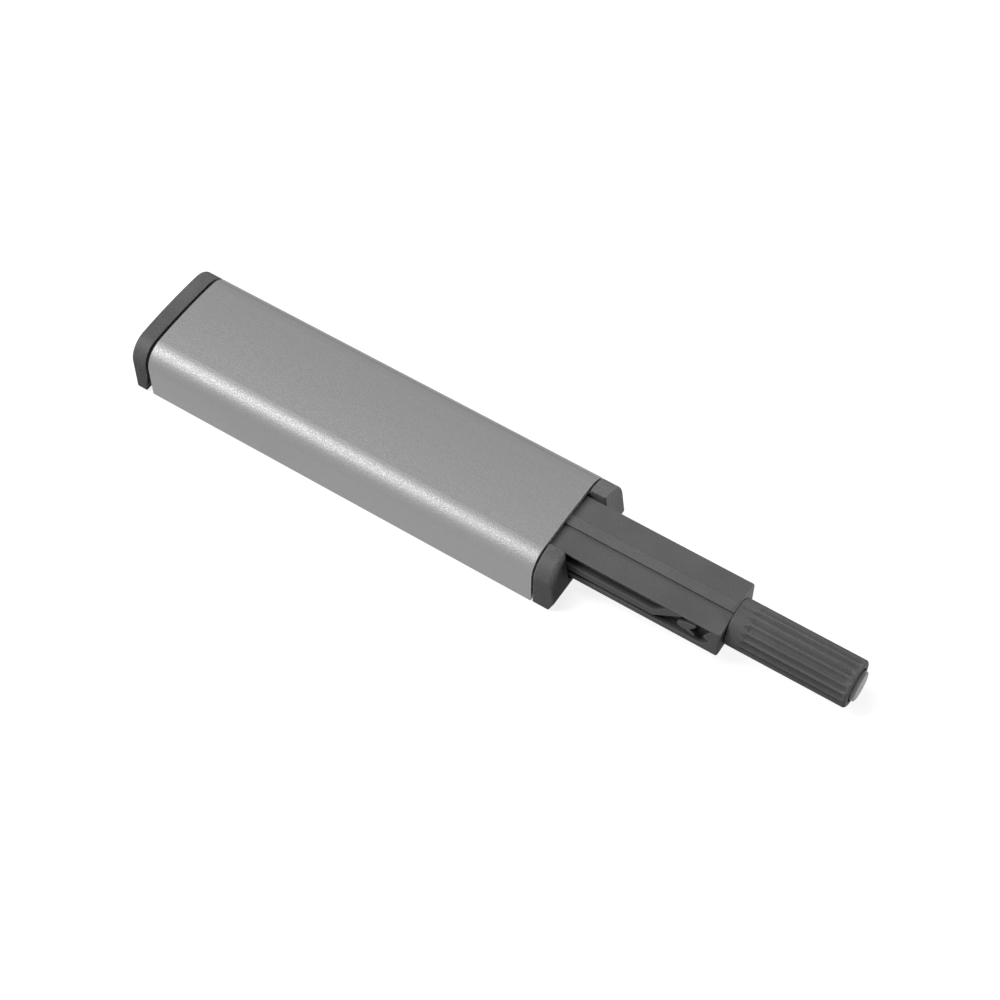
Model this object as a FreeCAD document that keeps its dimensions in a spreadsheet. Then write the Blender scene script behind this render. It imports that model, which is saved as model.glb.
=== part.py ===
import FreeCAD, Part
import math
import os
import Sketcher

# Push to open catch: an aluminium sleeve with a sprung plunger that a heart cam track latches.
# X runs along the plunger's travel, out of the sleeve's mouth. Z is up. The origin lies on the
# underside of the sleeve, halfway along it. Lengths are in millimetres.

doc = FreeCAD.newDocument("push_catch")
sheet = doc.addObject("Spreadsheet::Sheet", "Sizes")

SIZES = [
    # Sleeve, an extrusion with a crowned top and a flat floor
    ("sleeve_length", 75.0), ("sleeve_width", 21.7), ("sleeve_height", 11.0), ("sleeve_wall", 0.9),
    ("sleeve_floor", 1.5), ("corner_radius", 4.0), ("crown_radius", 88.0), ("foot_radius", 0.4),
    ("inner_foot_radius", 0.3), ("sleeve_edge", 0.12), ("screw_hole_radius", 1.25),
    ("screw_spacing", 50.0),
    # Rear cap
    ("cap_thickness", 2.9), ("cap_reveal", 0.55), ("cap_chin", 0.9), ("cap_chin_height", 4.5),
    ("cap_edge", 0.45), ("cap_plug_depth", 6.0), ("neck_inset", 0.8), ("plug_clearance", 0.08),
    ("cap_core_depth", 4.5), ("cap_core_width", 4.6), ("cap_core_height", 5.4),
    ("cap_core_offset", 5.8),
    # Front guide with its two lugs
    ("lug_length", 3.8), ("lug_reveal", 0.4), ("lug_inset", 0.05), ("lug_lean", 1.15),
    ("lug_chin", 1.0), ("lug_chin_height", 2.5), ("lug_edge", 0.3), ("guide_depth", 32.6),
    ("guide_floor", 1.72), ("side_play", 0.4), ("floor_play", 0.2), ("relief_radius", 1.8),
    ("guide_core_width", 1.9), ("guide_core_length", 24.0), ("guide_core_height", 4.0),
    # Plunger
    ("plunger_width", 11.1), ("plunger_height", 6.05), ("plunger_reach", 30.35),
    ("plunger_length", 70.0), ("plunger_edge", 0.2), ("plunger_front_edge", 0.35),
    ("ridge_width", 1.95), ("ridge_height", 0.33), ("ridge_setback", 0.1), ("ridge_edge", 0.12),
    ("ear_reach", 2.6),
    ("ear_step", 0.8), ("ear_gap", 0.2), ("spring_bore_radius", 2.35), ("spring_bore_depth", 36.8),
    ("stem_bore_depth", 12.5),
    # Cam track in the plunger's side
    ("track_depth", 1.3), ("lower_flange", 1.15), ("lane_width", 0.85), ("rib_height", 1.35),
    ("upper_flange", 0.3), ("rib_kink", 11.6), ("wedge_run", 2.5), ("window_reach", 1.4),
    ("full_push_gap", 3.2), ("wall_gap", 0.2), ("ramp_run", 1.55), ("tooth_reach", 0.5),
    ("front_room", 1.6), ("front_bevel", 0.15), ("pocket_rear", 3.3), ("lower_lobe_gap", 0.55),
    ("lobe_rise", 0.15), ("upper_lobe_gap", 0.65), ("upper_lobe_drop", 0.78), ("notch_gap", 1.9),
    ("kink_gap", 2.3), ("kink_rise", 1.3), ("tip_gap", 4.0), ("tip_rise", 0.6), ("tip_drop", 0.35),
    ("heart_edge", 0.15),
    # Nose and magnet
    ("nose_radius", 4.03), ("nose_tip_radius", 4.02), ("nose_length", 20.8), ("nose_edge", 0.45),
    ("collar_edge", 0.2), ("nose_gap", 0.05), ("stem_radius", 2.2), ("stem_length", 12.0),
    ("stem_clearance", 0.05), ("flute_count", 18.0), ("flute_radius", 1.15), ("flute_depth", 0.23),
    ("flute_start", 3.3), ("flute_end", 1.1), ("flute_run", 6.0), ("flute_phase", 14.0),
    ("magnet_radius", 2.55), ("magnet_length", 8.0),
    ("magnet_stand_out", 0.7), ("magnet_edge", 0.3), ("magnet_clearance", 0.05),
    ("mouth_gap", 0.32), ("mouth_depth", 0.6),
    # Follower and its leaf spring
    ("wire_radius", 0.3), ("arm_length", 29.0), ("pin_setback", 2.6), ("pin_engagement", 1.0),
    ("bend_radius", 0.8), ("upper_drop", 0.45), ("pocket_margin", 0.4), ("web", 1.0),
    ("pocket_end", 1.0), ("arm_gap", 0.1), ("pivot_clearance", 0.05), ("leaf_thickness", 0.25),
    ("leaf_width", 2.6), ("leaf_drop", 1.0), ("leaf_span", 20.0), ("leaf_foot", 3.0),
    ("leaf_slope", 4.0), ("leaf_gap", 0.04), ("foot_gap", 0.1),
    # Main spring and its rod
    ("spring_radius", 2.1), ("spring_wire", 0.5), ("spring_turns", 22.0), ("spring_gap", 0.05),
    ("rod_radius", 1.0), ("rod_clearance", 0.02), ("rod_seat", 4.0), ("rod_gap", 0.6),
    ("rod_edge", 0.3),
]
for row, (alias, size) in enumerate(SIZES, start=1):
    sheet.set("A%d" % row, alias)
    sheet.set("B%d" % row, str(size))
    sheet.setAlias("B%d" % row, alias)
doc.recompute()
ALIASES = {alias for alias, size in SIZES}

# Places that several pieces share, as formulas in the names above.
MOUTH = "(sleeve_length / 2)"
REAR = "(-sleeve_length / 2)"
LUG_FRONT = "(%s + lug_reveal + lug_length)" % MOUTH
GUIDE_REAR = "(%s - guide_depth)" % MOUTH
GUIDE_TOP = "(sleeve_floor + plug_clearance + guide_floor)"
PLUG_INSET = "(sleeve_wall + plug_clearance)"
PLUG_FACE = "(%s + cap_plug_depth)" % REAR
PLUNGER_BOTTOM = "(%s + floor_play)" % GUIDE_TOP
PLUNGER_TOP = "(%s + plunger_height)" % PLUNGER_BOTTOM
PLUNGER_AXIS = "(%s + plunger_height / 2)" % PLUNGER_BOTTOM
PLUNGER_FRONT = "(%s + plunger_reach)" % MOUTH
PLUNGER_REAR = "(%s - plunger_length)" % PLUNGER_FRONT
CHANNEL = "(plunger_width / 2 + side_play)"
PIN_X = "(%s - pin_setback)" % LUG_FRONT
STROKE = "(%s - full_push_gap - %s)" % (PLUNGER_FRONT, PIN_X)
LANE_Z = "(%s + lower_flange + lane_width / 2)" % PLUNGER_BOTTOM
HIGH_Z = "(%s - upper_flange - upper_drop)" % PLUNGER_TOP
LIFT = "(%s - %s)" % (HIGH_Z, LANE_Z)
PIVOT_X = "(%s - sqrt(arm_length ^ 2 - (%s / 2) ^ 2))" % (PIN_X, LIFT)
PIVOT_Z = "(%s + %s / 2)" % (LANE_Z, LIFT)
POCKET_Y = "(%s + web)" % CHANNEL
ARM_Y = "(%s + arm_gap + wire_radius)" % POCKET_Y
INNER_WALL = "(sleeve_width / 2 - sleeve_wall)"
BORE_END = "(%s + spring_bore_depth)" % PLUNGER_REAR


def bound(formula):
    """Turn the size names in a formula into references to the sheet."""
    text = ""
    word = ""
    for letter in formula + " ":
        if letter.isalnum() or letter == "_":
            word += letter
            continue
        text += "Sizes." + word if word in ALIASES else word
        text += letter
        word = ""
    return text.strip()


def value(formula):
    """The number that a formula gives with the sheet's sizes."""
    return float(sheet.evalExpression(bound(formula)))


def bind(thing, prop, formula):
    thing.setExpression(prop, bound(formula))


def place(thing, where, axis="0; 0; 1", angle="0"):
    """Put a piece at three formulas, turned about an axis by a formula in degrees."""
    text = "create(<<placement>>; create(<<vector>>; %s; %s; %s); " % where
    text += "create(<<rotation>>; create(<<vector>>; %s); %s))" % (axis, angle)
    bind(thing, "Placement", text)
    doc.recompute()


def new_body(name):
    body = doc.addObject("PartDesign::Body", name)
    body.Label = name
    return body


def origin_item(body, role):
    return [item for item in body.Origin.OriginFeatures if item.Role == role][0]


def sketch_on(body, name, role, offset="0"):
    """A sketch on one of the body's origin planes, moved along the plane's normal."""
    sketch = body.newObject("Sketcher::SketchObject", name)
    sketch.AttachmentSupport = [(origin_item(body, role), "")]
    sketch.MapMode = "FlatFace"
    bind(sketch, "AttachmentOffset.Base.z", offset)
    return sketch


def hold(sketch, kind, formula, *where):
    """Add one constraint whose size follows a formula."""
    number = sketch.addConstraint(Sketcher.Constraint(kind, *where, value(formula)))
    bind(sketch, "Constraints[%d]" % number, formula)


def tie(sketch, kind, *where):
    sketch.addConstraint(Sketcher.Constraint(kind, *where))


def outline(sketch, corners):
    """A closed outline of straight edges whose corners are pairs of formulas."""
    first = sketch.GeometryCount
    count = len(corners)
    places = [FreeCAD.Vector(value(across), value(up), 0) for across, up in corners]
    for number in range(count):
        side = Part.LineSegment(places[number], places[(number + 1) % count])
        sketch.addGeometry(side, False)
    for number in range(count):
        tie(sketch, "Coincident", first + number, 2, first + (number + 1) % count, 1)
    for number, (across, up) in enumerate(corners):
        hold(sketch, "DistanceX", across, -1, 1, first + number, 1)
        hold(sketch, "DistanceY", up, -1, 1, first + number, 1)


def rectangle(sketch, left, right, low, high):
    outline(sketch, [(left, low), (right, low), (right, high), (left, high)])


def circle(sketch, across, up, radius):
    number = sketch.GeometryCount
    centre = FreeCAD.Vector(value(across), value(up), 0)
    sketch.addGeometry(Part.Circle(centre, FreeCAD.Vector(0, 0, 1), value(radius)), False)
    hold(sketch, "DistanceX", across, -1, 1, number, 3)
    hold(sketch, "DistanceY", up, -1, 1, number, 3)
    hold(sketch, "Radius", radius, number)


def line(start, end):
    return Part.LineSegment(FreeCAD.Vector(*start, 0), FreeCAD.Vector(*end, 0))


def arc(centre, radius, start, end):
    """An arc between two angles in quarter turns."""
    ring = Part.Circle(FreeCAD.Vector(*centre, 0), FreeCAD.Vector(0, 0, 1), radius)
    return Part.ArcOfCircle(ring, start * math.pi / 2, end * math.pi / 2)


def crowned(sketch, inset, low, foot):
    """The sleeve's section, inset all round: flat floor, rounded corners and a crowned top."""
    half = value("sleeve_width / 2 - %s" % inset)
    floor, small = value(low), value(foot)
    corner = value("corner_radius - %s" % inset)
    crown = value("crown_radius - %s" % inset)
    crown_up = value("sleeve_height - crown_radius")
    out = half - corner
    up = crown_up + math.sqrt((crown - corner) ** 2 - out ** 2)
    turn = math.atan2(up - crown_up, out) / (math.pi / 2)
    sketch.addGeometry([
        line((small - half, floor), (half - small, floor)),
        arc((half - small, floor + small), small, -1, 0),
        line((half, floor + small), (half, up)),
        arc((out, up), corner, 0, turn),
        arc((0, crown_up), crown, turn, 2 - turn),
        arc((-out, up), corner, 2 - turn, 2),
        line((-half, up), (-half, floor + small)),
        arc((small - half, floor + small), small, 2, 3),
    ], False)
    for number in range(8):
        tie(sketch, "Tangent", number, 2, (number + 1) % 8, 1)
    tie(sketch, "Symmetric", 0, 1, 0, 2, -2)
    tie(sketch, "Vertical", 2)
    tie(sketch, "Vertical", 6)
    tie(sketch, "PointOnObject", 4, 3, -2)
    tie(sketch, "Equal", 1, 7)
    tie(sketch, "Equal", 3, 5)
    hold(sketch, "Radius", foot, 1)
    hold(sketch, "Radius", "corner_radius - %s" % inset, 3)
    hold(sketch, "Radius", "crown_radius - %s" % inset, 4)
    hold(sketch, "DistanceX", "sleeve_width / 2 - %s" % inset, -1, 1, 2, 1)
    hold(sketch, "DistanceY", low, -1, 1, 0, 1)
    hold(sketch, "DistanceY", "sleeve_height - crown_radius", -1, 1, 4, 3)


def pad(body, sketch, length):
    """Add material along the sketch's normal."""
    feature = body.newObject("PartDesign::Pad", sketch.Name + "_pad")
    feature.Profile = sketch
    bind(feature, "Length", length)
    doc.recompute()


def pocket(body, sketch, length):
    """Cut against the sketch's normal, and make sure that something was cut."""
    before = body.Shape.Volume
    feature = body.newObject("PartDesign::Pocket", sketch.Name + "_cut")
    feature.Profile = sketch
    bind(feature, "Length", length)
    doc.recompute()
    if not body.Shape.Volume < before - 1e-6:
        raise ValueError("%s cuts nothing" % sketch.Name)


def turned(name, corners):
    """A body turned about X from its half outline."""
    body = new_body(name)
    sketch = sketch_on(body, name + "_profile", "XZ_Plane")
    outline(sketch, corners)
    feature = body.newObject("PartDesign::Revolution", name + "_turned")
    feature.Profile = sketch
    feature.ReferenceAxis = (origin_item(body, "X_Axis"), [""])
    feature.Angle = 360
    doc.recompute()
    return body


def names_of(shape, edges):
    found = set()
    for number, edge in enumerate(shape.Edges, start=1):
        if any(edge.isSame(other) for other in edges):
            found.add("Edge%d" % number)
    return sorted(found)


def facing(shape, way):
    """The outlines of the faces that look mostly along X (way 1) or back against it (way -1)."""
    edges = []
    for face in shape.Faces:
        if way * face.normalAt(0, 0).x > 0.7:
            edges += face.OuterWire.Edges
    return names_of(shape, edges)


def rim(shape, place_x):
    """The outer edges of the flat faces that look along X at this place."""
    edges = []
    for face in shape.Faces:
        box = face.BoundBox
        if box.XLength < 1e-6 and abs(box.XMin - value(place_x)) < 1e-6:
            edges += face.OuterWire.Edges
    return names_of(shape, edges)


def fillet(body, name, edges, radius):
    base = body.Tip
    feature = body.newObject("PartDesign::Fillet", name)
    feature.Base = (base, edges)
    bind(feature, "Radius", radius)
    doc.recompute()


def make_sleeve():
    body = new_body("sleeve")
    outer = sketch_on(body, "sleeve_outer", "YZ_Plane", REAR)
    crowned(outer, "0", "0", "foot_radius")
    pad(body, outer, "sleeve_length")
    inner = sketch_on(body, "sleeve_inner", "YZ_Plane", MOUTH)
    crowned(inner, "sleeve_wall", "sleeve_floor", "inner_foot_radius")
    pocket(body, inner, "sleeve_length")
    holes = sketch_on(body, "screw_holes", "XY_Plane", "sleeve_floor")
    circle(holes, "screw_spacing / 2", "0", "screw_hole_radius")
    circle(holes, "-screw_spacing / 2", "0", "screw_hole_radius")
    pocket(body, holes, "sleeve_floor")
    fillet(body, "sleeve_ends", rim(body.Shape, MOUTH) + rim(body.Shape, REAR), "sleeve_edge")
    return body


def make_rear_cap():
    body = new_body("rear_cap")
    front = "(%s - cap_reveal)" % REAR
    plate = sketch_on(body, "cap_plate", "YZ_Plane", "%s - cap_thickness" % front)
    crowned(plate, "0", "0", "foot_radius")
    pad(body, plate, "cap_thickness")
    fillet(body, "cap_rear_edge", facing(body.Shape, -1), "cap_edge")
    chin = sketch_on(body, "cap_chin_slant", "XZ_Plane", "sleeve_width")
    outline(chin, [("%s - cap_chin" % front, "0"), (front, "0"), (front, "cap_chin_height")])
    pocket(body, chin, "2 * sleeve_width")
    neck = sketch_on(body, "cap_neck", "YZ_Plane", "%s - cap_chin" % front)
    crowned(neck, "neck_inset", "neck_inset", "inner_foot_radius")
    pad(body, neck, "cap_reveal + cap_chin")
    plug = sketch_on(body, "cap_plug", "YZ_Plane", REAR)
    crowned(plug, PLUG_INSET, "sleeve_floor + plug_clearance", "inner_foot_radius")
    pad(body, plug, "cap_plug_depth")
    cores = sketch_on(body, "cap_cores", "YZ_Plane", PLUG_FACE)
    low = "%s - cap_core_height / 2" % PLUNGER_AXIS
    high = "%s + cap_core_height / 2" % PLUNGER_AXIS
    inner = "(cap_core_offset - cap_core_width / 2)"
    outer = "(cap_core_offset + cap_core_width / 2)"
    rectangle(cores, "-" + outer, "-" + inner, low, high)
    rectangle(cores, inner, outer, low, high)
    pocket(body, cores, "cap_core_depth")
    bore = sketch_on(body, "cap_rod_bore", "YZ_Plane", PLUG_FACE)
    circle(bore, "0", PLUNGER_AXIS, "rod_radius + rod_clearance")
    pocket(body, bore, "rod_seat")
    return body


def make_front_guide():
    body = new_body("front_guide")
    block = sketch_on(body, "guide_block", "YZ_Plane", GUIDE_REAR)
    crowned(block, PLUG_INSET, "sleeve_floor + plug_clearance", "inner_foot_radius")
    pad(body, block, "guide_depth")
    neck = sketch_on(body, "guide_neck", "YZ_Plane", MOUTH)
    crowned(neck, "neck_inset", "neck_inset", "inner_foot_radius")
    pad(body, neck, "lug_reveal")
    lugs = sketch_on(body, "guide_lugs", "YZ_Plane", "%s + lug_reveal" % MOUTH)
    crowned(lugs, "lug_inset", "lug_inset", "foot_radius")
    pad(body, lugs, "lug_length")
    beyond = "(%s + lug_lean)" % LUG_FRONT
    lean = sketch_on(body, "lug_slant", "XZ_Plane", "sleeve_width")
    outline(lean, [("%s - lug_chin" % LUG_FRONT, "0"), (beyond, "0"), (beyond, "sleeve_height"),
                   ("%s - lug_lean" % LUG_FRONT, "sleeve_height"), (LUG_FRONT, "lug_chin_height")])
    pocket(body, lean, "2 * sleeve_width")
    fillet(body, "lug_edges", facing(body.Shape, 1), "lug_edge")
    channel = sketch_on(body, "guide_channel", "YZ_Plane", beyond)
    rectangle(channel, "-" + CHANNEL, CHANNEL, GUIDE_TOP, "2 * sleeve_height")
    pocket(body, channel, "2 * sleeve_length")
    fillet(body, "lug_inner_edges", lug_inner_edges(body.Shape), "lug_edge")
    cut_follower_room(body)
    core = sketch_on(body, "guide_core", "XY_Plane", "%s + guide_core_height / 2" % PIVOT_Z)
    middle = "(%s + guide_depth / 2)" % GUIDE_REAR
    rectangle(core, "%s - guide_core_length / 2" % middle, "%s + guide_core_length / 2" % middle,
              "%s - guide_core_width" % INNER_WALL, "sleeve_width")
    pocket(body, core, "guide_core_height")
    relief = sketch_on(body, "screw_relief", "XY_Plane", GUIDE_TOP)
    circle(relief, "screw_spacing / 2", "0", "relief_radius")
    pocket(body, relief, "guide_floor")
    return body


def lug_inner_edges(shape):
    """The front edges of the two lugs on either side of the channel."""
    found = []
    for edge in shape.Edges:
        box = edge.BoundBox
        beside = abs(abs(box.YMin) - value(CHANNEL)) < 1e-6 and box.YLength < 1e-6
        if beside and box.XMin > value(MOUTH) and box.XLength > 0.1 and box.ZLength > 1:
            found.append(edge)
    return names_of(shape, found)


def cut_follower_room(body):
    """The room in the near wall where the follower lies and swings, and its pivot hole."""
    high = "%s + wire_radius + pocket_margin" % HIGH_Z
    low = "%s - wire_radius - pocket_margin" % LANE_Z
    rear = "%s - wire_radius - pocket_margin" % PIVOT_X
    front = "%s + wire_radius + pocket_margin" % PIN_X
    window = "%s - wire_radius - pocket_margin" % PIN_X
    open_end = "%s - pocket_end" % MOUTH
    skin = "-(%s + wire_radius + pocket_margin)" % ARM_Y
    room = sketch_on(body, "follower_room", "XY_Plane", high)
    outline(room, [(rear, "-" + POCKET_Y), (rear, "-sleeve_width"), (open_end, "-sleeve_width"),
                   (open_end, skin), (front, skin), (front, "0"), (window, "0"),
                   (window, "-" + POCKET_Y)])
    pocket(body, room, "%s - (%s)" % (high, low))
    pivot = sketch_on(body, "pivot_hole", "XZ_Plane", CHANNEL)
    circle(pivot, PIVOT_X, PIVOT_Z, "wire_radius + pivot_clearance")
    feature = body.newObject("PartDesign::Pocket", "pivot_hole_cut")
    feature.Profile = pivot
    feature.Reversed = True
    bind(feature, "Length", "web")
    doc.recompute()


def make_plunger():
    body = new_body("plunger")
    bar = sketch_on(body, "plunger_bar", "YZ_Plane", PLUNGER_REAR)
    rectangle(bar, "-plunger_width / 2", "plunger_width / 2", PLUNGER_BOTTOM, PLUNGER_TOP)
    pad(body, bar, "plunger_length")
    along = [edge for edge in body.Shape.Edges if edge.BoundBox.XLength > 1]
    fillet(body, "plunger_long_edges", names_of(body.Shape, along), "plunger_edge")
    front = rim(body.Shape, PLUNGER_FRONT)
    fillet(body, "plunger_front_edges", front, "plunger_front_edge")
    ridge = sketch_on(body, "ridge", "YZ_Plane", PLUNGER_REAR)
    rectangle(ridge, "-ridge_width / 2", "ridge_width / 2", PLUNGER_AXIS,
              "%s + ridge_height" % PLUNGER_TOP)
    pad(body, ridge, "plunger_length - ridge_setback")
    top = value("%s + ridge_height" % PLUNGER_TOP)
    crest = [edge for edge in body.Shape.Edges if edge.BoundBox.ZMin > top - 1e-6]
    fillet(body, "ridge_edges", names_of(body.Shape, crest), "ridge_edge")
    ears = sketch_on(body, "ears", "YZ_Plane", PLUNGER_REAR)
    reach = "(plunger_width / 2 + ear_reach)"
    rectangle(ears, "-" + reach, reach, "%s + ear_step" % PLUNGER_BOTTOM,
              "%s - ear_step" % PLUNGER_TOP)
    pad(body, ears, "%s - ear_gap - %s" % (GUIDE_REAR, PLUNGER_REAR))
    cut_cam_track(body)
    stem = sketch_on(body, "stem_bore", "YZ_Plane", PLUNGER_FRONT)
    circle(stem, "0", PLUNGER_AXIS, "stem_radius + stem_clearance")
    pocket(body, stem, "stem_bore_depth")
    spring = sketch_on(body, "spring_bore", "YZ_Plane", BORE_END)
    circle(spring, "0", PLUNGER_AXIS, "spring_bore_radius")
    pocket(body, spring, "spring_bore_depth")
    return body


def cut_cam_track(body):
    """The heart cam track in the near side: the lane, the pocket round the heart, and the rib."""
    lane_top = "(lower_flange + lane_width)"
    rib_top = "(%s + rib_height)" % lane_top
    ceiling = "(plunger_height - upper_flange)"
    middle = "((lower_flange + %s) / 2)" % ceiling
    rest = "(%s - %s)" % (PLUNGER_FRONT, PIN_X)
    window_front = "(%s - window_reach)" % rest
    window_rear = "(%s + window_reach)" % rest
    wall = "(full_push_gap - wall_gap)"
    # Each corner is a distance behind the plunger's front face and a height above its underside.
    loop = [
        (window_rear, "lower_flange"),
        (wall, "lower_flange"),
        ("%s - ramp_run" % wall, "lower_flange + ramp_run"),
        ("full_push_gap - tooth_reach", middle),
        ("full_push_gap - front_room", "%s - 2 * front_bevel" % ceiling),
        ("full_push_gap - front_room + front_bevel", ceiling),
        ("full_push_gap + pocket_rear", ceiling),
        ("rib_kink", lane_top),
        (window_front, lane_top),
        (window_front, rib_top),
        ("rib_kink", rib_top),
        ("rib_kink - wedge_run", ceiling),
        (window_rear, ceiling),
    ]
    heart = [
        ("full_push_gap + tip_gap", "%s - tip_drop" % middle),
        ("full_push_gap + tip_gap", "%s + tip_rise" % middle),
        ("full_push_gap + kink_gap", "%s + kink_rise" % middle),
        ("full_push_gap + upper_lobe_gap", "%s - upper_lobe_drop" % ceiling),
        ("full_push_gap + notch_gap", middle),
        ("full_push_gap + lower_lobe_gap", "%s + lobe_rise" % lane_top),
    ]
    track = sketch_on(body, "cam_track", "XZ_Plane", "plunger_width / 2")
    outline(track, [on_side(corner) for corner in loop])
    outline(track, [on_side(corner) for corner in heart])
    pocket(body, track, "track_depth")
    places = [[value(formula) for formula in on_side(corner)] for corner in heart]
    corners = []
    for edge in body.Shape.Edges:
        box = edge.BoundBox
        across = max(box.XLength, box.ZLength) < 1e-6
        if across and any(math.hypot(box.XMin - x, box.ZMin - z) < 1e-4 for x, z in places):
            corners.append(edge)
    fillet(body, "heart_corners", names_of(body.Shape, corners), "heart_edge")


def on_side(corner):
    """Where a corner of the cam track lies in the shared frame."""
    behind, above = corner
    return "%s - (%s)" % (PLUNGER_FRONT, behind), "%s + %s" % (PLUNGER_BOTTOM, above)


def make_nose():
    bore_end = "(nose_length + magnet_stand_out - magnet_length)"
    bore = "(magnet_radius + magnet_clearance)"
    mouth = "(magnet_radius + mouth_gap)"
    body = turned("nose", [
        ("-stem_length", "0"), ("-stem_length", "stem_radius"), ("0", "stem_radius"),
        ("0", "nose_radius"), ("nose_length", "nose_tip_radius"), ("nose_length", mouth),
        ("nose_length - mouth_depth", mouth), ("nose_length - mouth_depth", bore),
        (bore_end, bore), (bore_end, "0")])
    fillet(body, "nose_tip_edge", rim(body.Shape, "nose_length"), "nose_edge")
    fillet(body, "nose_collar_edge", rim(body.Shape, "0"), "collar_edge")
    cut_flutes(body)
    where = ("%s + nose_gap" % PLUNGER_FRONT, "0", PLUNGER_AXIS)
    place(body, where, "1; 0; 0", "flute_phase")
    return body


def cut_flutes(body):
    """Shallow grooves along the nose that run out at both ends, one repeated round the axis."""
    sketch = sketch_on(body, "flute", "XZ_Plane")
    bind(sketch, "AttachmentOffset.Base.y", "nose_radius + flute_radius - flute_depth")
    last = "nose_length - flute_end"
    outline(sketch, [("flute_start - flute_run", "0"), ("%s + flute_run" % last, "0"),
                     (last, "flute_radius"), ("flute_start", "flute_radius")])
    doc.recompute()
    before = body.Shape.Volume
    groove = body.newObject("PartDesign::Groove", "flute_cut")
    groove.Profile = sketch
    groove.ReferenceAxis = (sketch, ["H_Axis"])
    groove.Angle = 360
    doc.recompute()
    pattern = body.newObject("PartDesign::PolarPattern", "flutes")
    pattern.Originals = [groove]
    pattern.Axis = (origin_item(body, "X_Axis"), [""])
    pattern.Angle = 360
    bind(pattern, "Occurrences", "round(flute_count)")
    body.Tip = pattern
    doc.recompute()
    if not body.Shape.Volume < before - 1:
        raise ValueError("the flutes cut nothing")


def make_magnet():
    body = turned("magnet", [("0", "0"), ("0", "magnet_radius"),
                             ("magnet_length", "magnet_radius"), ("magnet_length", "0")])
    fillet(body, "magnet_front_edge", rim(body.Shape, "magnet_length"), "magnet_edge")
    tip = "%s + nose_gap + nose_length" % PLUNGER_FRONT
    place(body, ("%s + magnet_stand_out - magnet_length" % tip, "0", PLUNGER_AXIS))
    return body


def make_latch_follower():
    """A wire bent to a U: the pivot at its rear end, the arm, and the pin at its front end."""
    body = new_body("latch_follower")
    pivot_reach = "(%s - %s - pivot_clearance)" % (ARM_Y, CHANNEL)
    pin_reach = "(%s - plunger_width / 2 + pin_engagement)" % ARM_Y
    length, bend = value("arm_length"), value("bend_radius")
    path = sketch_on(body, "wire_path", "XY_Plane")
    path.addGeometry([
        line((0, value(pivot_reach)), (0, bend)),
        arc((bend, bend), bend, 2, 3),
        line((bend, 0), (length - bend, 0)),
        arc((length - bend, bend), bend, 3, 4),
        line((length, bend), (length, value(pin_reach))),
    ], False)
    for number in range(4):
        tie(path, "Tangent", number, 2, number + 1, 1)
    tie(path, "Vertical", 0)
    tie(path, "Horizontal", 2)
    tie(path, "Vertical", 4)
    tie(path, "PointOnObject", 0, 1, -2)
    tie(path, "PointOnObject", 2, 1, -1)
    hold(path, "DistanceX", "arm_length", -1, 1, 4, 1)
    hold(path, "DistanceY", pivot_reach, -1, 1, 0, 1)
    hold(path, "DistanceY", pin_reach, -1, 1, 4, 2)
    hold(path, "Radius", "bend_radius", 1)
    hold(path, "Radius", "bend_radius", 3)
    section = sketch_on(body, "wire_section", "XZ_Plane", "-" + pivot_reach)
    circle(section, "0", "0", "wire_radius")
    doc.recompute()
    pipe = body.newObject("PartDesign::AdditivePipe", "wire")
    pipe.Profile = section
    pipe.Spine = path
    doc.recompute()
    place(body, (PIVOT_X, "-" + ARM_Y, PIVOT_Z), "0; 1; 0", "asin(%s / 2 / arm_length)" % LIFT)
    return body


def make_follower_spring():
    """A bowed leaf: two feet against the sleeve's wall and a flat crest that faces the arm."""
    body = new_body("follower_spring")
    wall = "-(%s - foot_gap)" % INNER_WALL
    crest = "-(%s + wire_radius + leaf_gap)" % ARM_Y
    middle = "((%s + %s) / 2)" % (PIVOT_X, PIN_X)
    steps = ["leaf_span / 2", "(leaf_span / 2 - leaf_foot)",
             "(leaf_span / 2 - leaf_foot - leaf_slope)"]
    outer = [("%s - %s" % (middle, steps[0]), wall), ("%s - %s" % (middle, steps[1]), wall),
             ("%s - %s" % (middle, steps[2]), "%s - leaf_thickness" % crest),
             ("%s + %s" % (middle, steps[2]), "%s - leaf_thickness" % crest),
             ("%s + %s" % (middle, steps[1]), wall), ("%s + %s" % (middle, steps[0]), wall)]
    inner = [(across, "%s + leaf_thickness" % up) for across, up in reversed(outer)]
    low = "%s - leaf_width / 2 - leaf_drop" % PIVOT_Z
    strip = sketch_on(body, "leaf_outline", "XY_Plane", low)
    outline(strip, outer + inner)
    pad(body, strip, "leaf_width")
    return body


def make_spring_rod():
    body = turned("spring_rod", [
        ("0", "0"), ("0", "rod_radius - rod_edge"), ("rod_edge", "rod_radius"),
        ("%s - rod_edge" % rod_length(), "rod_radius"), (rod_length(), "rod_radius - rod_edge"),
        (rod_length(), "0")])
    place(body, ("%s - rod_seat" % PLUG_FACE, "0", PLUNGER_AXIS))
    return body


def rod_length():
    """From the bottom of its seat to just short of the bore's end at full push."""
    return "(%s - %s - rod_gap - %s + rod_seat)" % (BORE_END, STROKE, PLUG_FACE)


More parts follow.
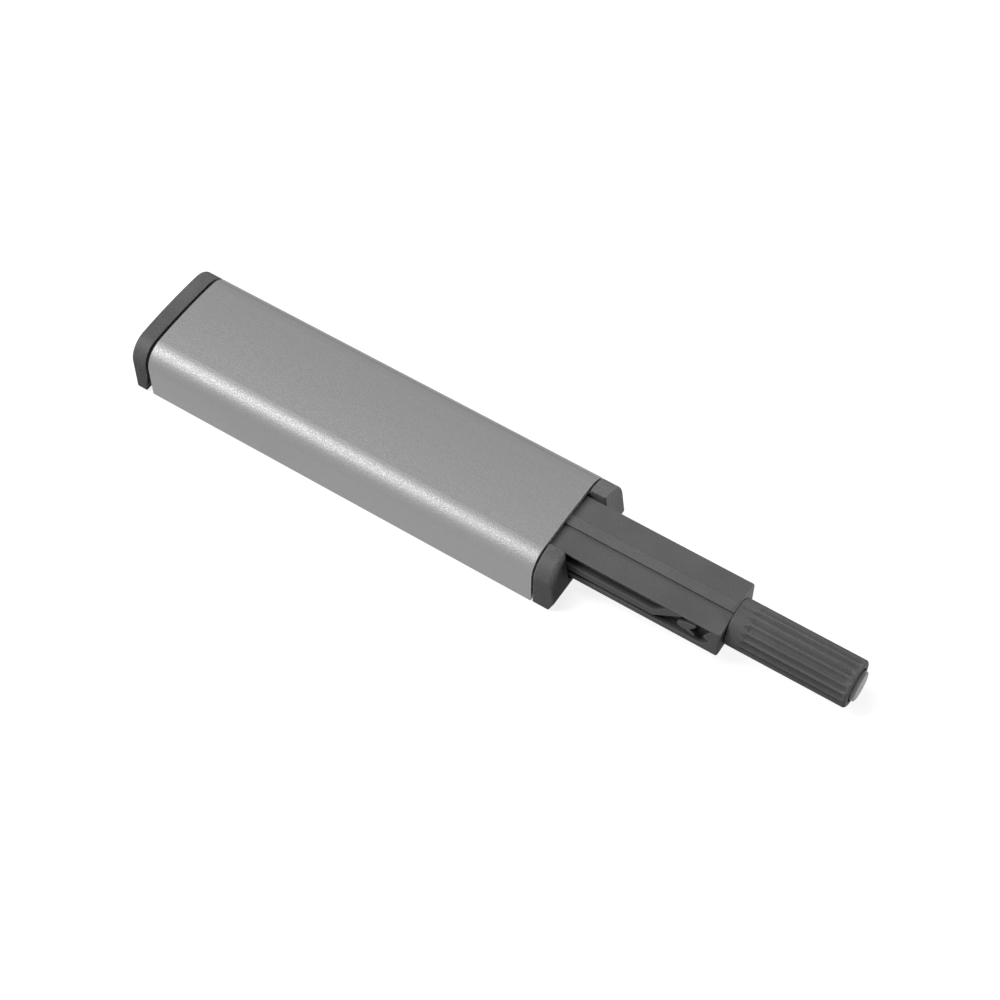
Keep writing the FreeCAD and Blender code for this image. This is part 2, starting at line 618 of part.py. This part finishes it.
def make_main_spring():
    """A coil laid out as tangent half rings, so that every face is part of a ring."""
    turns = int(round(value("spring_turns")))
    coil = value("spring_radius - spring_wire / 2")
    free = value("%s - %s - 2 * spring_gap - spring_wire" % (BORE_END, PLUG_FACE))
    step = free / turns / 2
    rings = []
    for number in range(2 * turns):
        side = 1 if number % 2 == 0 else -1
        start = FreeCAD.Vector(number * step, side * coil, 0)
        end = FreeCAD.Vector((number + 1) * step, -side * coil, 0)
        reach = math.hypot(coil, step / 2)
        top = FreeCAD.Vector((number + 0.5) * step, 0, side * reach)
        rings.append(Part.Arc(start, top, end).toShape())
    ring = Part.Circle(FreeCAD.Vector(0, coil, 0), FreeCAD.Vector(0, 0, 1),
                       value("spring_wire / 2"))
    section = Part.Face(Part.Wire(ring.toShape()))
    spring = doc.addObject("Part::Feature", "main_spring")
    spring.Label = "main_spring"
    spring.Shape = Part.Wire(rings).makePipe(section)
    place(spring, ("%s + spring_gap + spring_wire / 2" % PLUG_FACE, "0", PLUNGER_AXIS))
    return spring


pieces = [
    make_sleeve(), make_rear_cap(), make_front_guide(), make_plunger(), make_nose(),
    make_magnet(), make_latch_follower(), make_follower_spring(), make_spring_rod(),
    make_main_spring(),
]
doc.recompute()

for item in doc.Objects:
    if "Invalid" in item.State or "Error" in item.State:
        raise ValueError("%s did not recompute: %s" % (item.Name, item.State))
for piece in pieces:
    shape = piece.Shape
    if shape.isNull() or not shape.isValid() or len(shape.Solids) != 1:
        raise ValueError("%s is not one sound solid" % piece.Label)

os.makedirs("parts", exist_ok=True)
for piece in pieces:
    piece.Shape.exportStep("parts/%s.step" % piece.Label)
    box = piece.Shape.BoundBox
    print(piece.Label, [round(number, 2) for number in (box.XMin, box.XMax, box.YMin, box.YMax,
                                                        box.ZMin, box.ZMax)])
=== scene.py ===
import bmesh
import bpy
import math
from mathutils import Matrix, Vector


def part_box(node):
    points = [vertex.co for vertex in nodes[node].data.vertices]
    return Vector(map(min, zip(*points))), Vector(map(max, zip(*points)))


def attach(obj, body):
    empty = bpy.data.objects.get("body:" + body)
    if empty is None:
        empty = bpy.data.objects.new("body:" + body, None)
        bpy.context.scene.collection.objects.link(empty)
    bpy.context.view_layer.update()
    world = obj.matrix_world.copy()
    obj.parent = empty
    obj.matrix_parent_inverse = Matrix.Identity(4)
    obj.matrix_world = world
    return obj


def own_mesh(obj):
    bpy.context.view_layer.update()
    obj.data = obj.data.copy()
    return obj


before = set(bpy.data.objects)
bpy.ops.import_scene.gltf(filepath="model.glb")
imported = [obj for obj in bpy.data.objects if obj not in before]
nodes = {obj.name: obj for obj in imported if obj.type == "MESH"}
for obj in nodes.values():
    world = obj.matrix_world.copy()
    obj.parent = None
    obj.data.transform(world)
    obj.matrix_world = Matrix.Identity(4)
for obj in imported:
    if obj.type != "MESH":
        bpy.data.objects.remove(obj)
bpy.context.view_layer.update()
scene = bpy.context.scene


# Sleeve
# A length of extruded aluminium with a crowned top, blasted with fine beads and then anodised
# in its natural grey. A faint line of painted shade runs along its far corner, and it is sawn to
# length; its sawn ends are lighter, partly as bare metal and partly as a painted highlight on the
# cut edge.

def empty_group(name, numbers, made):
    """A node group with inputs that are numbers and outputs of a named kind, and its two ends."""
    group = bpy.data.node_groups.new(name, "ShaderNodeTree")
    for socket in numbers:
        group.interface.new_socket(socket, in_out="INPUT", socket_type="NodeSocketFloat")
    for socket, kind in made.items():
        group.interface.new_socket(socket, in_out="OUTPUT", socket_type=kind)
    return group, group.nodes.new("NodeGroupInput"), group.nodes.new("NodeGroupOutput")


def math_node(tree, operation, first, second):
    """One step of arithmetic on two inputs, each a socket or a number."""
    node = tree.nodes.new("ShaderNodeMath")
    node.operation = operation
    for place, given in enumerate((first, second)):
        if isinstance(given, (int, float)):
            node.inputs[place].default_value = given
        else:
            tree.links.new(given, node.inputs[place])
    return node.outputs[0]


def ramp(tree, value, stretch, start, end):
    """Turn a value that runs over a stretch into one that runs from start to end."""
    node = tree.nodes.new("ShaderNodeMapRange")
    node.inputs["From Min"].default_value = stretch[0]
    node.inputs["From Max"].default_value = stretch[1]
    node.inputs["To Min"].default_value = start
    node.inputs["To Max"].default_value = end
    tree.links.new(value, node.inputs["Value"])
    return node.outputs["Result"]


def surface_grain():
    """Fine pits, slow patches and faint lines along X, each from 0 to 1."""
    group, given, made = empty_group("surface_grain", ("Fine scale", "Patch scale", "Line scale"),
                                     dict.fromkeys(("Pits", "Patches", "Lines"), "NodeSocketFloat"))
    place = group.nodes.new("ShaderNodeTexCoord")
    stretch = group.nodes.new("ShaderNodeMapping")
    stretch.inputs["Scale"].default_value = (0.02, 1.0, 1.0)
    group.links.new(place.outputs["Object"], stretch.inputs["Vector"])
    for output, scale, vector, detail in (("Pits", "Fine scale", place.outputs["Object"], 2.0),
                                          ("Patches", "Patch scale", place.outputs["Object"], 3.0),
                                          ("Lines", "Line scale", stretch.outputs["Vector"], 1.0)):
        noise = group.nodes.new("ShaderNodeTexNoise")
        noise.inputs["Detail"].default_value = detail
        noise.inputs["Roughness"].default_value = 0.6
        group.links.new(vector, noise.inputs["Vector"])
        group.links.new(given.outputs[scale], noise.inputs["Scale"])
        group.links.new(noise.outputs["Fac"], made.inputs[output])
    return group


def rounded_edges():
    """A normal that raises a height and rounds the edges, and a mask that is 1 on the edges."""
    group, given, made = empty_group("rounded_edges", ("Height", "Depth", "Edge radius"),
                                     {"Normal": "NodeSocketVector", "Edge_mask": "NodeSocketFloat"})
    soft = group.nodes.new("ShaderNodeBevel")
    soft.samples = 6
    bump = group.nodes.new("ShaderNodeBump")
    bump.inputs["Strength"].default_value = 1.0
    flat = group.nodes.new("ShaderNodeNewGeometry")
    alike = group.nodes.new("ShaderNodeVectorMath")
    alike.operation = "DOT_PRODUCT"
    group.links.new(given.outputs["Edge radius"], soft.inputs["Radius"])
    group.links.new(given.outputs["Depth"], bump.inputs["Distance"])
    group.links.new(given.outputs["Height"], bump.inputs["Height"])
    group.links.new(soft.outputs["Normal"], bump.inputs["Normal"])
    group.links.new(soft.outputs["Normal"], alike.inputs[0])
    group.links.new(flat.outputs["Normal"], alike.inputs[1])
    group.links.new(bump.outputs["Normal"], made.inputs["Normal"])
    group.links.new(ramp(group, alike.outputs["Value"], (0.92, 0.998), 1.0, 0.0),
                    made.inputs["Edge_mask"])
    return group


grain = surface_grain()
edge_rounding = rounded_edges()


def blank(name):
    """A new material, with its tree and its shader."""
    material = bpy.data.materials.new(name)
    material.use_nodes = True
    return material, material.node_tree, material.node_tree.nodes["Principled BSDF"]


def placed(tree, group, **numbers):
    """A node group placed in a material, with its numbers set."""
    node = tree.nodes.new("ShaderNodeGroup")
    node.node_tree = group
    for socket, number in numbers.items():
        node.inputs[socket.replace("_", " ")].default_value = number
    return node


def tint(tree, shader, mask, dark, light):
    """Colour between two tones by a mask."""
    node = tree.nodes.new("ShaderNodeMix")
    node.data_type = "RGBA"
    node.inputs["A"].default_value = (*dark, 1.0)
    node.inputs["B"].default_value = (*light, 1.0)
    tree.links.new(mask, node.inputs["Factor"])
    tree.links.new(node.outputs["Result"], shader.inputs["Base Color"])


def roughen(tree, shader, mask, stretch, smooth, rough):
    """Let the roughness follow a mask that runs over a stretch."""
    tree.links.new(ramp(tree, mask, stretch, smooth, rough), shader.inputs["Roughness"])


def shade(tree, shader, factor):
    """Multiply the base colour by a factor."""
    aged = tree.nodes.new("ShaderNodeHueSaturation")
    tree.links.new(shader.inputs["Base Color"].links[0].from_socket, aged.inputs["Color"])
    tree.links.new(factor, aged.inputs["Value"])
    tree.links.new(aged.outputs["Color"], shader.inputs["Base Color"])


def away(tree, point, counted):
    """The distance from a point along the axes that are counted as 1."""
    place = tree.nodes.new("ShaderNodeTexCoord")
    offset = tree.nodes.new("ShaderNodeVectorMath")
    offset.operation = "SUBTRACT"
    offset.inputs[1].default_value = point
    along = tree.nodes.new("ShaderNodeVectorMath")
    along.operation = "MULTIPLY"
    along.inputs[1].default_value = counted
    length = tree.nodes.new("ShaderNodeVectorMath")
    length.operation = "LENGTH"
    tree.links.new(place.outputs["Object"], offset.inputs[0])
    tree.links.new(offset.outputs["Vector"], along.inputs[0])
    tree.links.new(along.outputs["Vector"], length.inputs[0])
    return length.outputs["Value"]


def relief(tree, shader, height, depth, edge):
    """Raise the surface by a height and round its edges, which come back as a mask."""
    edge_highlight = placed(tree, edge_rounding, Depth=depth, Edge_radius=edge)
    tree.links.new(height, edge_highlight.inputs["Height"])
    tree.links.new(edge_highlight.outputs["Normal"], shader.inputs["Normal"])
    return edge_highlight.outputs["Edge_mask"]


def dress(node, material):
    """Give a carried-over part one material all over."""
    mesh = nodes[node].data
    mesh.materials.clear()
    mesh.materials.append(material)


middle = (0.0, 0.0, 0.0)
along_x = (1.0, 0.0, 0.0)
along_y = (0.0, 1.0, 0.0)

sleeve_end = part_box("sleeve")[1].x
far_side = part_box("sleeve")[1].y
sawn_end = (sleeve_end - 0.00012, sleeve_end - 0.00004)
stripe_share = 0.08
bright_share = 0.42
shade_above = (0.0019, 0.00265)
shade_below = (0.0015, 0.00185)
shade_darkness = 0.22
shade_share_below = 0.35

anodised, tree, shader = blank("anodised_aluminium")
shader.inputs["Metallic"].default_value = 1.0
surface = placed(tree, grain, Fine_scale=4300.0, Patch_scale=70.0, Line_scale=2600.0)
stripes = math_node(tree, "MULTIPLY", surface.outputs["Lines"], stripe_share)
mottle = math_node(tree, "ADD", stripes, surface.outputs["Pits"])
blasted = ramp(tree, mottle, (0.3, 0.8), 0.0, bright_share)
# Painted highlight: the sawn ends are lighter, partly as bare metal and partly as the bright line
# on the cut edge.
sawn_ends_and_highlight = ramp(tree, away(tree, middle, along_x), sawn_end, 0.0, 1.0)
tint(tree, shader, math_node(tree, "ADD", blasted, sawn_ends_and_highlight), dark=(0.248, 0.248, 0.248),
     light=(0.4, 0.4, 0.4))
# Painted shade: a faint dark line along the far rounded corner.
inwards = away(tree, (0.0, far_side, 0.0), along_y)
far_corner_shade = math_node(tree, "MULTIPLY", ramp(tree, inwards, shade_above, shade_darkness, 0.0),
                 ramp(tree, inwards, shade_below, shade_share_below, 1.0))
shade(tree, shader, math_node(tree, "SUBTRACT", 1.0, far_corner_shade))
roughen(tree, shader, surface.outputs["Pits"], (0.36, 0.66), smooth=0.43, rough=0.62)
relief(tree, shader, surface.outputs["Pits"], depth=0.00005, edge=0.00008)
dress("sleeve", anodised)


# Rear cap
# The end cap, moulded in dark grey nylon. Its plug is pressed into the sleeve, and a narrow neck
# leaves the shadow line that shows between the cap and the metal.

def moulded(name, dark, light, smooth, rough, pits, depth, edge, edge_highlight):
    """Moulded plastic: a spark-eroded texture, with slow changes of gloss from the mould, and its
    edges lightened as a painted highlight.
    """
    material, tree, shader = blank(name)
    weight = tree.nodes.new("ShaderNodeLayerWeight")
    sheen = ramp(tree, weight.outputs["Facing"], (0.3, 0.65), 0.35, 0.03)
    tree.links.new(sheen, shader.inputs["Specular IOR Level"])
    surface = placed(tree, grain, Fine_scale=pits, Patch_scale=90.0, Line_scale=500.0)
    mottle = math_node(tree, "ADD", surface.outputs["Pits"], surface.outputs["Patches"])
    tint(tree, shader, ramp(tree, mottle, (0.7, 1.3), 0.0, 1.0), dark, light)
    roughen(tree, shader, surface.outputs["Patches"], (0.3, 0.7), smooth, rough)
    # Painted highlight: the edges are lightened by the edge mask.
    edge_highlight_mask = relief(tree, shader, surface.outputs["Pits"], depth, edge)
    shade(tree, shader, ramp(tree, edge_highlight_mask, (0.0, 1.0), 1.0, edge_highlight))
    return material


dress("rear_cap", moulded("cap_nylon", dark=(0.045, 0.045, 0.046), light=(0.106, 0.106, 0.107),
                          smooth=0.5, rough=0.6, pits=4200.0, depth=0.00002, edge=0.0002,
                          edge_highlight=1.8))


# Front guide
# The moulded guide that the plunger slides in. Its two lugs close the sleeve's mouth on either
# side of the plunger and take the knocks when the door is shut.

dress("front_guide", moulded("guide_nylon", dark=(0.06, 0.06, 0.061),
                             light=(0.122, 0.122, 0.123), smooth=0.5, rough=0.62, pits=3600.0,
                             depth=0.00002, edge=0.00028, edge_highlight=2.0))


# Plunger
# A long moulded bar with a ridge along its top and the heart-shaped cam track in its near side.
# It is smoother than the cap, because it has to slide. Painted shade darkens the cam track and a
# thin line beside the ridge's foot, and painted highlight lightens the ridge's top and the front
# end.

along_z = (0.0, 0.0, 1.0)

screw_height = (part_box("nose")[0].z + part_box("nose")[1].z) / 2
plunger_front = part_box("plunger")[1].x
ridge_edge = (0.00082, 0.00092)
ridge_highlight_tone = 1.03
side_tone = 0.93
foot_inside = (0.00088, 0.00096)
foot_outside = (0.00101, 0.0012)
foot_shadow_darkness = 0.45
track_depth = (0.0045, 0.0054)
track_rise = (0.0029, 0.00297)
track_end = (plunger_front - 0.00025, plunger_front - 0.00015)
track_shade_darkness = 0.45
front_edge = (plunger_front - 0.0003, plunger_front - 0.00015)
front_highlight_tone = 1.35

plunger_acetal = moulded("plunger_acetal", dark=(0.066, 0.066, 0.067), light=(0.1, 0.1, 0.101),
                         smooth=0.44, rough=0.54, pits=4200.0, depth=0.00001, edge=0.00025,
                         edge_highlight=1.6)
tree = plunger_acetal.node_tree
shader = tree.nodes["Principled BSDF"]
# Painted highlight on the ridge's top, and painted shadow in a thin line beside its foot.
beside = away(tree, middle, along_y)
ridge_foot_shadow = math_node(tree, "MULTIPLY", ramp(tree, beside, foot_inside, 0.0, 1.0),
                 ramp(tree, beside, foot_outside, 1.0, 0.0))
shade(tree, shader, math_node(tree, "SUBTRACT",
                              ramp(tree, beside, ridge_edge, ridge_highlight_tone, side_tone),
                              math_node(tree, "MULTIPLY", ridge_foot_shadow, foot_shadow_darkness)))
beyond = away(tree, middle, along_x)
level = ramp(tree, away(tree, (0.0, 0.0, screw_height), along_z), track_rise, 1.0, 0.0)
behind = ramp(tree, beyond, track_end, 1.0, 0.0)
# Painted shade in the cam track.
track_shade = math_node(tree, "MULTIPLY", ramp(tree, beside, track_depth, track_shade_darkness, 0.0),
                    math_node(tree, "MULTIPLY", level, behind))
# Painted highlight on the front end.
front_highlight = ramp(tree, beyond, front_edge, 1.0, front_highlight_tone)
shade(tree, shader, math_node(tree, "SUBTRACT", front_highlight, track_shade))
dress("plunger", plunger_acetal)


# Nose
# The screw-in tip of the plunger, moulded with shallow flutes so that it can be turned by hand.
# Painted shade darkens the flutes, the collar next to the plunger and the rim of the magnet's
# seat, and painted highlight lightens the crests between the flutes.

nose_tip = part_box("nose")[1].x
collar_back = plunger_front + 0.00005
crest_radius = 0.00402
flute_depth = (0.00383, crest_radius)
flute_shade_tone = 0.74
crest_highlight_tone = 1.06
collar_reach = (0.0022, 0.0042)
collar_shade_tone = 0.84
seat_wall = (0.00285, 0.0031)
seat_reach = (0.003, 0.004)
seat_shade_darkness = 0.5

nose_acetal = moulded("nose_acetal", dark=(0.046, 0.046, 0.047), light=(0.092, 0.092, 0.093),
                      smooth=0.46, rough=0.58, pits=4000.0, depth=0.000015, edge=0.00018,
                      edge_highlight=1.7)
tree = nose_acetal.node_tree
shader = tree.nodes["Principled BSDF"]
# Painted shade in the flutes and painted highlight on their crests.
outwards = away(tree, (0.0, 0.0, screw_height), (0.0, 1.0, 1.0))
flute_shading = ramp(tree, outwards, flute_depth, flute_shade_tone, crest_highlight_tone)
# Painted shade on the collar next to the plunger.
collar_shade = ramp(tree, away(tree, (collar_back, 0.0, 0.0), along_x), collar_reach, collar_shade_tone, 1.0)
# Painted shade on the rim of the magnet's seat.
tip = ramp(tree, away(tree, (nose_tip, 0.0, 0.0), along_x), seat_reach, 1.0, 0.0)
seat_shade = math_node(tree, "MULTIPLY", ramp(tree, outwards, seat_wall, seat_shade_darkness, 0.0), tip)
shade(tree, shader, math_node(tree, "SUBTRACT", math_node(tree, "MULTIPLY", flute_shading, collar_shade), seat_shade))
dress("nose", nose_acetal)


# Nose seam
# The thin line of flash that the two halves of the mould leave along the nose's smooth collar,
# one on either side. It is part of the same moulding.

seam_angles = (-5.0, 175.0)
seam_back = collar_back + 0.0001
seam_length = 0.0031
seam_middle = seam_back + seam_length / 2
seam_width = 0.00011
seam_height = 0.00004
seam_edge = 0.000012
sharp_angle = 0.5

flash = bmesh.new()
for angle in seam_angles:
    across = (Matrix.Translation((0.0, 0.0, screw_height))
              @ Matrix.Rotation(math.radians(angle), 4, "X"))
    outline = Matrix.Diagonal((seam_length, seam_width, 1.0, 1.0))
    lift = Matrix.Translation((seam_middle, 0.0, crest_radius))
    strip = bmesh.ops.create_grid(flash, x_segments=6, y_segments=1, size=0.5,
                                  matrix=across @ lift @ outline)
    faces = list({face for vertex in strip["verts"] for face in vertex.link_faces})
    raised = bmesh.ops.extrude_face_region(flash, geom=faces)["geom"]
    top = [part for part in raised if isinstance(part, bmesh.types.BMVert)]
    bmesh.ops.translate(flash, verts=top, vec=across.to_3x3() @ Vector((0.0, 0.0, seam_height)))
rim = [edge for edge in flash.edges if edge.is_manifold and edge.calc_face_angle(0.0) > sharp_angle]
bmesh.ops.bevel(flash, geom=rim, offset=seam_edge, offset_type="OFFSET", segments=2, profile=0.5,
                affect="EDGES", material=-1)
bmesh.ops.recalc_face_normals(flash, faces=flash.faces)
seam_mesh = bpy.data.meshes.new("nose_seam")
flash.to_mesh(seam_mesh)
flash.free()
seam_mesh.materials.append(moulded("seam_acetal", dark=(0.05, 0.05, 0.051),
                                   light=(0.064, 0.064, 0.065), smooth=0.46, rough=0.58,
                                   pits=4500.0, depth=0.000003, edge=0.00002, edge_highlight=1.7))
seam = bpy.data.objects.new("nose_seam", seam_mesh)
scene.collection.objects.link(seam)
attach(seam, "nose_body")


# Magnet
# A round magnet with a bright nickel coat, pressed into the nose's tip. The strike plate on the
# door rubs its face a little dull.

nickel, tree, shader = blank("magnet_nickel")
shader.inputs["Metallic"].default_value = 1.0
surface = placed(tree, grain, Fine_scale=3600.0, Patch_scale=700.0, Line_scale=3000.0)
tint(tree, shader, surface.outputs["Patches"], dark=(0.1, 0.1, 0.1), light=(0.15, 0.15, 0.15))
roughen(tree, shader, surface.outputs["Pits"], (0.3, 0.7), smooth=0.3, rough=0.4)
relief(tree, shader, surface.outputs["Pits"], depth=0.00001, edge=0.00008)
dress("magnet", nickel)


# Follower, springs and rod
# Drawn spring steel: the bent wire whose pin runs in the cam track, the leaf that presses it
# inwards, the coil that drives the plunger out, and the rod inside the coil.

steel, tree, shader = blank("spring_steel")
shader.inputs["Metallic"].default_value = 1.0
surface = placed(tree, grain, Fine_scale=5000.0, Patch_scale=200.0, Line_scale=6000.0)
tint(tree, shader, surface.outputs["Lines"], dark=(0.3, 0.3, 0.3), light=(0.42, 0.42, 0.42))
roughen(tree, shader, surface.outputs["Patches"], (0.3, 0.7), smooth=0.3, rough=0.42)
relief(tree, shader, surface.outputs["Lines"], depth=0.000006, edge=0.00003)
for name in ("latch_follower", "follower_spring", "spring_rod", "main_spring"):
    dress(name, steel)
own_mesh(nodes["main_spring"])


# Floor and light
# A plain white studio table under a soft white surround. One lamp hangs overhead, one at the near
# side is mirrored along the sleeve's rounded edge, and one at the far end lights the front faces.

table_half = 6.0
table_drop = 0.00005
bounce_tone = 0.22
shadow_tone = 0.3
glow_reach = (0.15, 0.6)
glow_near = 0.82
surround_fill = 0.06


def seen_directly(tree):
    """1 for the rays that come from the camera or by way of a mirror or glass."""
    path = tree.nodes.new("ShaderNodeLightPath")
    first = math_node(tree, "MAXIMUM", path.outputs["Is Camera Ray"], path.outputs["Is Glossy Ray"])
    return math_node(tree, "MAXIMUM", first, path.outputs["Is Transmission Ray"])


def matt(tree, tone):
    """A matt white, as light as its tone."""
    node = tree.nodes.new("ShaderNodeBsdfDiffuse")
    node.inputs["Color"].default_value = (tone, tone, tone, 1.0)
    return node


table = bmesh.new()
bmesh.ops.create_grid(table, x_segments=1, y_segments=1, size=table_half,
                      matrix=Matrix.Translation((0.0, 0.0, -table_drop)))
table_mesh = bpy.data.meshes.new("table")
table.to_mesh(table_mesh)
table.free()
table_top = bpy.data.objects.new("table", table_mesh)
scene.collection.objects.link(table_top)
paper, tree, shader = blank("white_paper")
tree.nodes.remove(shader)
lit = matt(tree, bounce_tone)
shaded = matt(tree, shadow_tone)
glow = tree.nodes.new("ShaderNodeEmission")
tree.links.new(ramp(tree, away(tree, middle, (1.0, 1.0, 0.0)), glow_reach, glow_near, 1.0),
               glow.inputs["Strength"])
both = tree.nodes.new("ShaderNodeAddShader")
pick = tree.nodes.new("ShaderNodeMixShader")
tree.links.new(shaded.outputs[0], both.inputs[0])
tree.links.new(glow.outputs[0], both.inputs[1])
tree.links.new(seen_directly(tree), pick.inputs["Fac"])
tree.links.new(lit.outputs[0], pick.inputs[1])
tree.links.new(both.outputs[0], pick.inputs[2])
tree.links.new(pick.outputs[0], tree.nodes["Material Output"].inputs["Surface"])
table_mesh.materials.append(paper)

world = bpy.data.worlds.new("studio")
world.use_nodes = True
scene.world = world
tree = world.node_tree
surround = tree.nodes["Background"]
surround.inputs["Color"].default_value = (1.0, 1.0, 1.0, 1.0)
tree.links.new(ramp(tree, seen_directly(tree), (0.0, 1.0), surround_fill, 1.0),
               surround.inputs["Strength"])


def lamp(name, towards, distance, size, power, mirrored):
    """A soft square lamp in a direction from the sleeve, turned to face it."""
    light = bpy.data.lights.new(name, "AREA")
    light.shape = "SQUARE"
    light.size = size
    light.energy = power
    holder = bpy.data.objects.new(name, light)
    aim = Vector((0.02, 0.0, 0.005))
    way = Vector(towards).normalized()
    holder.location = aim + way * distance
    holder.rotation_euler = way.to_track_quat("Z", "Y").to_euler()
    holder.visible_glossy = mirrored
    scene.collection.objects.link(holder)


lamp("overhead", (-0.25, -0.1, 1.0), distance=0.9, size=0.4, power=4.0, mirrored=False)
lamp("near_side", (-0.55, -0.47, 0.83), distance=0.8, size=0.35, power=4.3, mirrored=True)
lamp("far_front", (0.85, 0.7, 0.25), distance=0.9, size=0.4, power=9.0, mirrored=False)


# Camera
# Set as the photograph was taken: from the nose's side, well above the table, with a long lens.
# Its place and its three angles were fitted to the sleeve's edges.

turn = math.radians(32.57)
climb = math.radians(55.213)
roll = math.radians(-0.484)
stand = (0.133708, -0.170549, 0.296233)

ahead = Vector((-math.sin(turn) * math.cos(climb), math.cos(turn) * math.cos(climb),
                -math.sin(climb)))
level_right = Vector((math.cos(turn), math.sin(turn), 0.0))
level_down = ahead.cross(level_right)
right = level_right * math.cos(roll) + level_down * math.sin(roll)
down = level_down * math.cos(roll) - level_right * math.sin(roll)
lens = bpy.data.cameras.new("camera")
lens.sensor_width = 36.0
lens.lens = 79.95
lens.clip_start = 0.01
lens.clip_end = 50.0
viewer = bpy.data.objects.new("camera", lens)
pose = Matrix((right, -down, -ahead)).transposed().to_4x4()
pose.translation = stand
viewer.matrix_world = pose
scene.collection.objects.link(viewer)
scene.camera = viewer

scene.view_settings.view_transform = "Standard"
